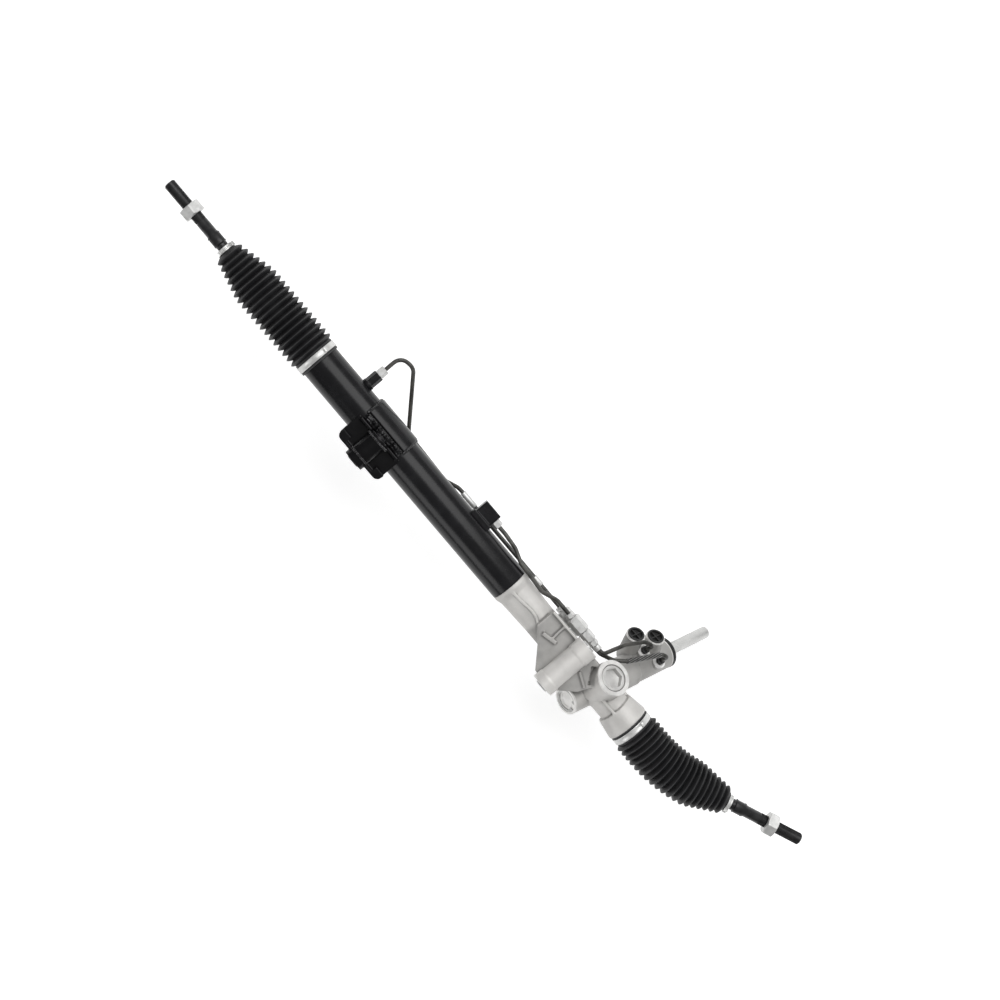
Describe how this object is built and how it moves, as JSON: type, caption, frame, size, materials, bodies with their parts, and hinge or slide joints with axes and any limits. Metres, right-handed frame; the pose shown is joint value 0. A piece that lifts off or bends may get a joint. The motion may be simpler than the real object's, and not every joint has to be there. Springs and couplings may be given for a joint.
{
  "type": "power steering rack",
  "caption": "Hydraulic rack-and-pinion steering gear with a cast pinion housing, steel cylinder tube, mounting bushes, hydraulic lines, rubber bellows and threaded tie rods.",
  "frame": {"origin": "on the axis of the mounting bush beside the pinion, 45 mm from the end of its sleeve on the -Y side", "axes": "+X along the rack towards the pinion end, +Y along the mounting bolts towards the steering column, +Z from the rack up to the mounting bolts"},
  "size_m": [1.1803, 0.2185, 0.2031],
  "materials": {
    "cast_aluminium": "as cast, satin",
    "black_paint": "gloss black paint on steel",
    "bush_rubber": "matte",
    "bellows_rubber": "matte",
    "seal_rubber": "satin",
    "seal_plastic": "natural",
    "zinc_steel": "bright zinc",
    "ground_steel": "ground",
    "black_steel": "black phosphate",
    "dark_steel": "dark oxide",
    "yoke_aluminium": "machined",
    "bearing_bronze": "sintered bronze on steel",
    "black_plastic": "moulded, satin",
    "line_steel": "black coated tube"
  },
  "bodies": {
    "housing": {"pinion_housing": "cast_aluminium", "cylinder_tube": "black_paint", "bracket_saddle": "black_paint", "mount_bracket": "black_paint", "pinion_side_bush_rubber": "bush_rubber", "outboard_bush_rubber": "bush_rubber", "pinion_side_bush_sleeve": "zinc_steel", "outboard_bush_sleeve": "black_paint", "rack_end_bush": "bearing_bronze", "bush_retaining_ring": "dark_steel", "outer_rack_seal": "seal_rubber", "inner_rack_seal": "seal_rubber", "rack_yoke": "yoke_aluminium", "yoke_damping_ring": "seal_rubber", "yoke_spring": "dark_steel", "yoke_plug": "yoke_aluminium", "lower_bearing_outer_race": "ground_steel", "lower_bearing_balls": "ground_steel", "upper_pinion_bearing": "bearing_bronze", "pinion_end_cap": "yoke_aluminium", "cap_retaining_ring": "dark_steel", "input_shaft_seal": "seal_rubber", "dust_cover": "seal_rubber", "hose_port_plugs": "black_plastic", "outboard_port_fitting": "black_paint", "inboard_port_block": "black_paint", "outboard_line": "line_steel", "inboard_line": "line_steel", "upper_valve_line": "line_steel", "lower_valve_line": "line_steel", "line_end_nuts": "zinc_steel", "front_coupler": "zinc_steel", "rear_coupler": "zinc_steel", "line_sleeves": "zinc_steel", "left_bellows": "bellows_rubber", "right_bellows": "bellows_rubber", "left_bellows_clamp": "zinc_steel", "right_bellows_clamp": "zinc_steel"},
    "rack": {"rack_bar": "ground_steel", "rack_piston": "ground_steel", "piston_ring": "seal_plastic", "left_ball_socket": "ground_steel", "right_ball_socket": "ground_steel"},
    "pinion": {"pinion_shaft": "ground_steel", "pinion_lock_nut": "zinc_steel", "lower_bearing_inner_race": "ground_steel", "valve_sleeve": "ground_steel", "valve_sleeve_rings": "seal_plastic", "sleeve_drive_pin": "dark_steel"},
    "input_shaft": {"input_shaft": "ground_steel", "torsion_bar": "dark_steel"},
    "left_seat": {"left_ball_seat": "seal_plastic"},
    "left_tie_rod": {"left_tie_rod": "black_steel", "left_jam_nut": "zinc_steel", "left_rod_clip": "zinc_steel"},
    "right_seat": {"right_ball_seat": "seal_plastic"},
    "right_tie_rod": {"right_tie_rod": "black_steel", "right_jam_nut": "zinc_steel", "right_rod_clip": "zinc_steel"}
  },
  "joints": [
    {"name": "rack_slide", "type": "slide", "parent": "housing", "child": "rack", "axis": [1, 0, 0], "range_m": [-0.062, 0.072], "deforming": ["left_bellows", "right_bellows"]},
    {"name": "pinion_spin", "type": "hinge", "parent": "housing", "child": "pinion", "pos_m": [0.054, -0.00258, -0.05656], "axis": [0.309, 0.7694, -0.559], "range_deg": [-446, 518]},
    {"name": "input_twist", "type": "hinge", "parent": "pinion", "child": "input_shaft", "pos_m": [0.054, -0.00258, -0.05656], "axis": [0.309, 0.7694, -0.559], "range_deg": [-4, 4], "stiffness_Nm_per_rad": 115},
    {"name": "left_seat_turn", "type": "hinge", "parent": "rack", "child": "left_seat", "pos_m": [-0.591, 0.008, -0.042], "axis": [0, 0, 1], "range_deg": [-28, 28], "deforming": ["left_bellows"]},
    {"name": "left_rod_swing", "type": "hinge", "parent": "left_seat", "child": "left_tie_rod", "pos_m": [-0.591, 0.008, -0.042], "axis": [0, 1, 0], "range_deg": [-18, 18], "deforming": ["left_bellows"]},
    {"name": "right_seat_turn", "type": "hinge", "parent": "rack", "child": "right_seat", "pos_m": [0.201, 0.008, -0.042], "axis": [0, 0, 1], "range_deg": [-49.8, 6.2], "deforming": ["right_bellows"]},
    {"name": "right_rod_swing", "type": "hinge", "parent": "right_seat", "child": "right_tie_rod", "pos_m": [0.201, 0.008, -0.042], "axis": [-0.3714, 0.9285, 0], "range_deg": [-18, 18], "deforming": ["right_bellows"]}
  ],
  "couplings": [
    {"joint": "pinion_spin", "follows": "rack_slide", "rad_per_m": 125}
  ]
}
